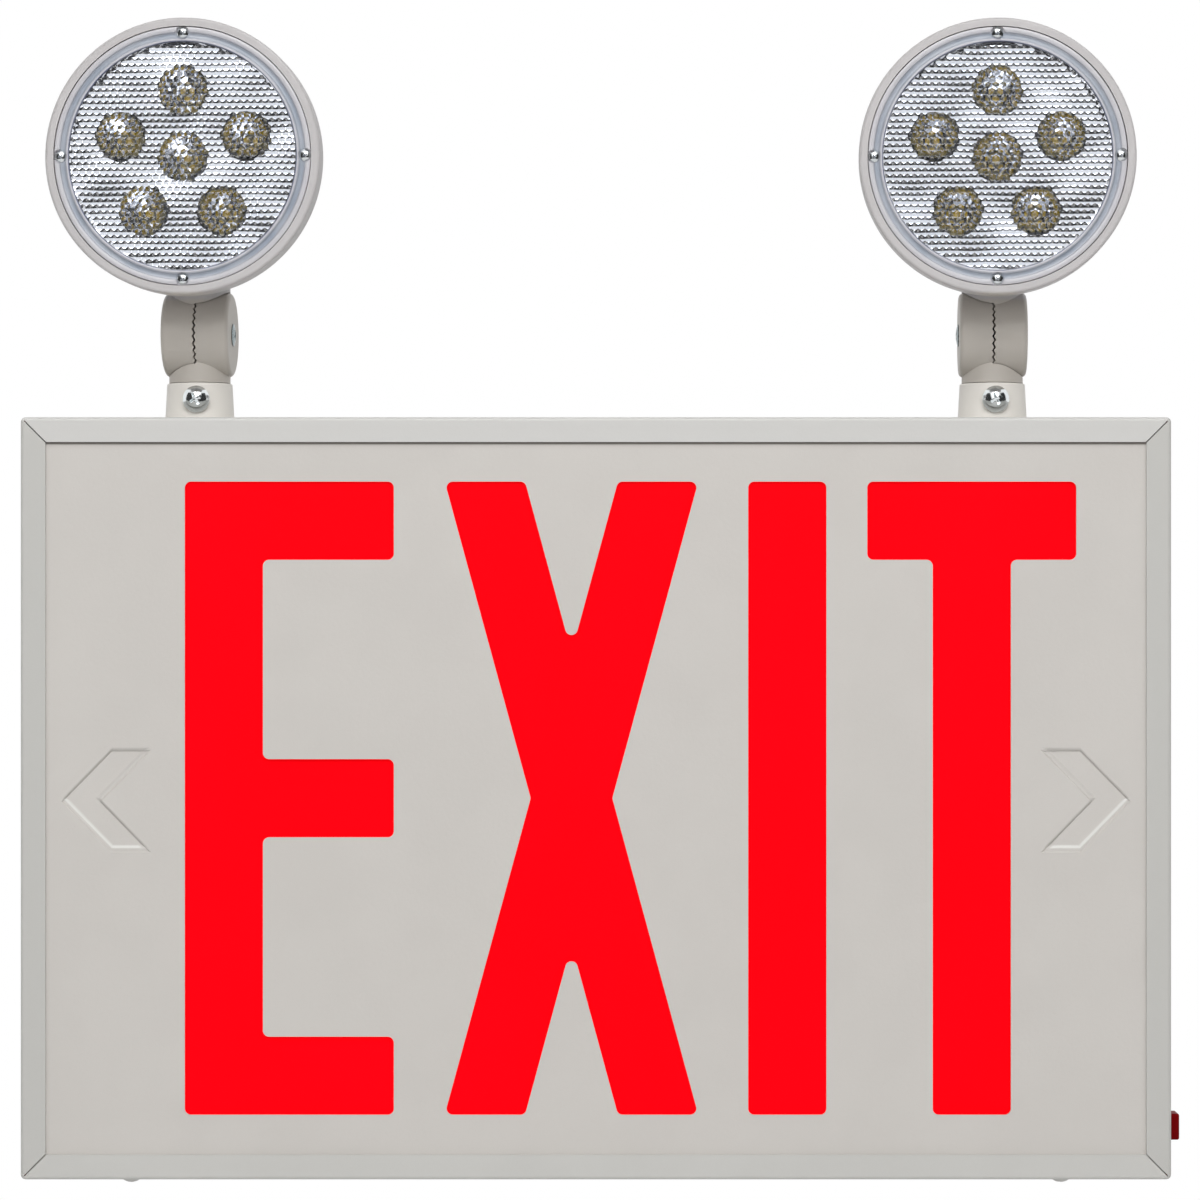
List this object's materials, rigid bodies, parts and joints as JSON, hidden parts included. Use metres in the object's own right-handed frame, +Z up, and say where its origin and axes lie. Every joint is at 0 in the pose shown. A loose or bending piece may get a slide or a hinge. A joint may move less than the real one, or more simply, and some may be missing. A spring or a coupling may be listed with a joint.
{
  "type": "emergency exit light",
  "caption": "Folded steel exit sign box with a stencil legend and red panel, a push test button, and swivelling round lamp heads on toothed knuckles.",
  "frame": {"origin": "centre of the housing's back face, on the wall plane", "axes": "+Z up, +X to the right of someone who reads the legend, +Y into the wall; the legend faces -Y"},
  "size_m": [0.3738, 0.0692, 0.3737],
  "materials": {
    "white_enamel": "powder coat, fine orange peel, satin",
    "face_enamel": "powder coat, satin",
    "red_acrylic": "translucent red sheet, smooth",
    "zinc_steel": "bright zinc plate",
    "white_screw": "painted screw heads",
    "board_green": "solder mask",
    "lamp_chip_red": "small red lamps",
    "battery_wrap": "shrink wrap over cells",
    "ground_green": "green screw",
    "brass_posts": "turned brass",
    "core_steel": "varnished laminations",
    "coil_tape": "yellow tape",
    "capacitor_sleeve": "sleeved cans",
    "relay_black": "moulded case",
    "plug_white": "moulded nylon",
    "terminal_green": "moulded terminal",
    "switch_black": "moulded case",
    "button_red": "dark red moulded cap",
    "pilot_amber": "clear tinted dome",
    "collar_enamel": "satin paint",
    "bright_screw": "bright plated, cross recess",
    "lamp_plastic": "moulded off-white plastic, fine texture",
    "clear_lens": "clear lens with a honeycomb of lenslets, frosted flange",
    "chrome_reflector": "bright plated cups",
    "led_phosphor": "yellow phosphor"
  },
  "bodies": {
    "box": {"back_housing": "white_enamel", "front_frame": "white_enamel", "stencil_plate": "face_enamel", "red_panel": "red_acrylic", "panel_clips": "zinc_steel", "cover_screws": "white_screw", "upper_light_strip": "board_green", "lower_light_strip": "board_green", "upper_strip_lamps": "lamp_chip_red", "lower_strip_lamps": "lamp_chip_red", "battery_pack": "battery_wrap", "battery_bracket": "zinc_steel", "bracket_screws": "zinc_steel", "ground_screw": "ground_green", "charger_board": "board_green", "board_standoffs": "brass_posts", "board_screws": "zinc_steel", "transformer_core": "core_steel", "transformer_coil": "coil_tape", "capacitors": "capacitor_sleeve", "relay": "relay_black", "board_plugs": "plug_white", "supply_terminal": "terminal_green", "test_switch": "switch_black", "pilot_lamp": "pilot_amber", "left_collar": "collar_enamel", "right_collar": "collar_enamel", "left_collar_nut": "zinc_steel", "right_collar_nut": "zinc_steel", "left_clamp_screw": "bright_screw", "right_clamp_screw": "bright_screw"},
    "button": {"test_button": "button_red"},
    "left_stem": {"left_stem": "lamp_plastic", "left_stem_ring": "zinc_steel", "left_knuckle_screw": "bright_screw"},
    "left_head": {"left_lamp_shell": "lamp_plastic", "left_lens": "clear_lens", "left_lens_screws": "bright_screw", "left_reflector": "chrome_reflector", "left_lamp_board": "board_green", "left_lamp_leds": "led_phosphor", "left_knuckle_nut": "zinc_steel"},
    "right_stem": {"right_stem": "lamp_plastic", "right_stem_ring": "zinc_steel", "right_knuckle_screw": "bright_screw"},
    "right_head": {"right_lamp_shell": "lamp_plastic", "right_lens": "clear_lens", "right_lens_screws": "bright_screw", "right_reflector": "chrome_reflector", "right_lamp_board": "board_green", "right_lamp_leds": "led_phosphor", "right_knuckle_nut": "zinc_steel"}
  },
  "joints": [
    {"name": "test_press", "type": "slide", "parent": "box", "child": "button", "axis": [-1, 0, 0], "range_m": [0, 0.0015], "stiffness_N_per_m": 600, "springref_m": -0.002},
    {"name": "left_swivel", "type": "hinge", "parent": "box", "child": "left_stem", "pos_m": [-0.13, -0.03, 0.1208], "axis": [0, 0, 1], "range_deg": [-170, 170]},
    {"name": "left_tilt", "type": "hinge", "parent": "left_stem", "child": "left_head", "pos_m": [-0.13, -0.03, 0.15045], "axis": [0.9986, -0.0523, 0], "range_deg": [-45, 50]},
    {"name": "right_swivel", "type": "hinge", "parent": "box", "child": "right_stem", "pos_m": [0.13, -0.03, 0.1208], "axis": [0, 0, 1], "range_deg": [-170, 170]},
    {"name": "right_tilt", "type": "hinge", "parent": "right_stem", "child": "right_head", "pos_m": [0.13, -0.03, 0.15045], "axis": [0.9986, -0.0523, 0], "range_deg": [-45, 50]}
  ]
}
